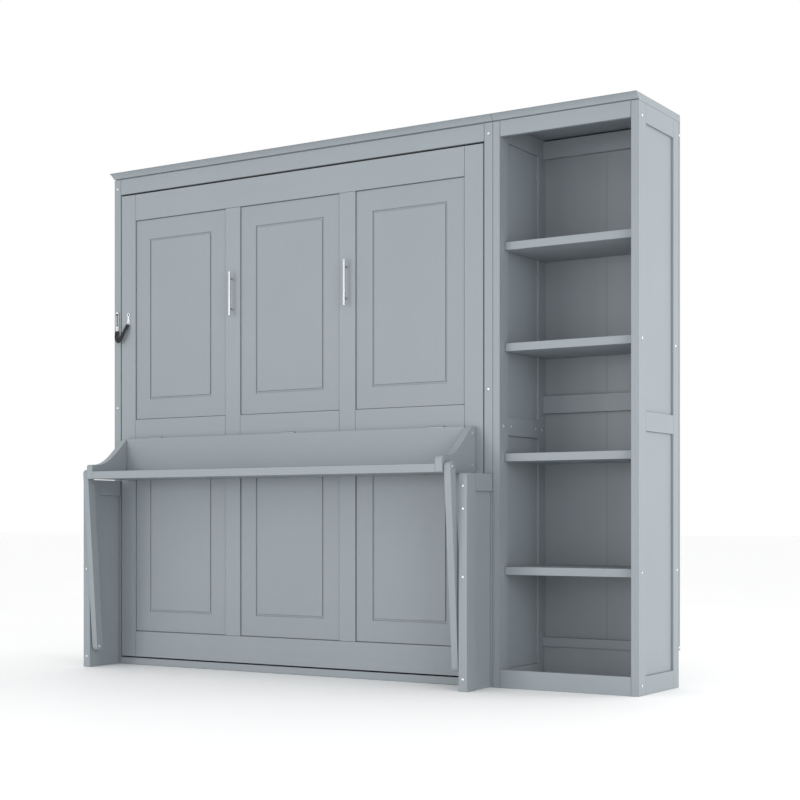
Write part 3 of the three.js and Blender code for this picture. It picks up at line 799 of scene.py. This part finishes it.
def stitched_box(bm, centre, across, down, out, half_width, half_height):
    """A sewn rectangle with a cross in it, on a face whose outward direction is out. Sizes in mm."""
    corners = [(-half_width, -half_height), (half_width, -half_height), (half_width, half_height),
               (-half_width, half_height)]
    lines = list(zip(corners, corners[1:] + corners[:1]))
    lines += [(corners[0], corners[2]), (corners[1], corners[3])]
    lift = out * STITCH_LIFT * MM
    for (a0, b0), (a1, b1) in lines:

        def along_line(share):
            a, b = a0 + (a1 - a0) * share, b0 + (b1 - b0) * share
            return centre + (across * a + down * b) * MM + lift

        count = max(2, round(math.hypot(a1 - a0, b1 - b0) / STITCH_PITCH))
        for i in range(count):
            stitch(bm, along_line((i + 0.12) / count), along_line((i + 0.88) / count))


STRAP_ROUTE = [(-949.5, -5.5, 1490), (-949.5, -10, 1472), (-943.5, -15, 1456), (-930, -19, 1446),
               (-915, -21, 1453), (-904.5, -18, 1470), (-894.5, -13, 1494), (-885.5, -5, 1516)]
WEB_WIDTH, WEB_THICKNESS = 22, 1.7
TURN = math.radians(10)  # how far the webbing turns on its way up to the door
TURN_START, TURN_SHARE = 0.45, 0.35  # where the turn starts and how much of the length it takes
SEWN_PLACE, SEWN_HALF = (LATCH_X, -9.4, 1479), (7.5, 7)

# The latch plate: its hook end with the stud's slot, and a wider foot with the webbing's slot.
LATCH_Y, LATCH_HALF, LATCH_TOP_Z, LATCH_WAIST_Z = (-6, -3.6), 7.2, 1569.5, 1516
LATCH_FOOT_RADIUS, LATCH_FOOT_Z = 8, 1499
STUD_SLOT_HALF, STUD_SLOT_Z, STUD_Z = 4.1, (1510, 1570), 1564
WEB_SLOT_HALF, WEB_SLOT_Z = 3.4, (1496, 1504)
# The pad behind the latch plate is near-black as painted shade, so its slots read dark.
SHADE_PAD_Y, SHADE_PAD_HALF, SHADE_PAD_Z = (-3.4, -1.4), 6.0, (1506, 1573)

# The door plate: a round end at each hole, and a waist between them.
DOOR_PLATE_Y, WAIST_HALF, WAIST_Z = (-2.6, -0.3), 4.6, (1539, 1546)
UPPER_END_Z, UPPER_END, UPPER_HOLE = 1560, 8.5, 4.0
LOWER_END_Z, LOWER_END, LOWER_HOLE_Z, LOWER_HOLE = 1528, 8.0, 1526, 3.2

STUD = [(0, 0.02), (5.5, 0.02), (5.5, 1.0), (5.0, 1.6), (2.1, 1.7), (2.1, 7.0), (3.6, 7.4), (4.0, 8.2),
        (3.4, 9.4), (1.8, 10.0), (0, 10.1)]
SUNK_HEAD = [(0, -2.2), (3.9, -2.2), (3.9, -1.2), (3.0, -0.6), (-1.4, -0.6), (-1.2, -1.6), (0, -1.7)]


def add_latch():
    """The slotted plate that hooks over the post's stud, its slot for the webbing, and a near-black pad
    behind it that is painted shade, darkening the slots.
    """
    x, half = LATCH_X, LATCH_HALF
    bm = bmesh.new()
    outline = [*arc(x, LATCH_TOP_Z, half, 0, 180, 14), (x - half, LATCH_WAIST_Z),
               *arc(x, LATCH_FOOT_Z, LATCH_FOOT_RADIUS, 150, 390, 18), (x + half, LATCH_WAIST_Z)]
    slots = [stadium(x, STUD_SLOT_HALF, STUD_SLOT_Z), stadium(x, WEB_SLOT_HALF, WEB_SLOT_Z)]
    flat_plate(bm, outline, slots, LATCH_Y, 0.6)
    # The pad: painted shade seen through the slots.
    flat_plate(bm, stadium(x, SHADE_PAD_HALF, SHADE_PAD_Z), [], SHADE_PAD_Y, 0.4, index=1)
    piece("strap_latch", bm, "bed", [PLATE, SHADE_BLACK], replaces=["strap_latch_plate"])
    # The stud is near-black: partly black steel, partly painted shade in the slot.
    stud = bmesh.new()
    lathe(stud, STUD, at(x, 0, STUD_Z), (0, -1, 0), segments=32)
    piece("strap_stud", stud, "cabinet", [STUD_BLACK_AND_SHADE])


def add_door_plate():
    """The waisted two-hole plate on the door's stile, with a sunk screw in its upper hole, near-black as
    painted shade in the hole.
    """
    x, waist = DOOR_PLATE_X, WAIST_HALF
    low, high = WAIST_Z
    bm = bmesh.new()
    outline = [*arc(x, UPPER_END_Z, UPPER_END, -55, 235, 22), (x - waist, high), (x - waist, low),
               *arc(x, LOWER_END_Z, LOWER_END, 128, 412, 22), (x + waist, low), (x + waist, high)]
    holes = [circle(x, UPPER_END_Z, UPPER_HOLE), circle(x, LOWER_HOLE_Z, LOWER_HOLE)]
    flat_plate(bm, outline, holes, DOOR_PLATE_Y, 0.6)
    # The sunk screw takes the near-black second material: painted shade in the upper hole.
    lathe(bm, SUNK_HEAD, at(x, DOOR_PLATE_Y[0], UPPER_END_Z), (0, -1, 0), segments=30, index=1)
    piece("strap_door_plate", bm, "bed", [PLATE, SHADE_BLACK])


def add_webbing():
    """The slack webbing, flat at the latch and turned a little on its way up to the door plate."""
    path = smooth_path([at(*point) for point in STRAP_ROUTE], 10)
    forward = Vector((0, 1, 0))
    widths = []
    for i in range(len(path)):
        tangent = (path[min(i + 1, len(path) - 1)] - path[max(i - 1, 0)]).normalized()
        share = i / (len(path) - 1)
        turn = TURN * max(0.0, min(1.0, (share - TURN_START) / TURN_SHARE))
        widths.append(tangent.cross(forward).normalized() * math.cos(turn) + forward * math.sin(turn))
    bm = bmesh.new()
    ribbon(bm, path, widths, WEB_WIDTH, WEB_THICKNESS)
    stitched_box(bm, at(*SEWN_PLACE), Vector((1, 0, 0)), Vector((0, 0, 1)), -forward, *SEWN_HALF)
    piece("strap_web", bm, "bed", [WEB, THREAD], replaces=["strap_webbing"])


def add_strap():
    add_latch()
    add_door_plate()
    add_webbing()


# ------------------------------------------------------------------ floor


def add_floor():
    bm = bmesh.new()
    bmesh.ops.create_grid(bm, x_segments=8, y_segments=8, size=60)
    mesh = bpy.data.meshes.new("floor")
    bm.to_mesh(mesh)
    bm.free()
    floor = bpy.data.objects.new("floor", mesh)
    floor.location.z = -0.0005
    mesh.materials.append(floor_material())
    bpy.context.scene.collection.objects.link(floor)


add_camera()
add_lights()
add_floor()
dress_cad_nodes()
add_framed_pieces()
add_screws()
add_handles()
add_hinges()
add_strap()
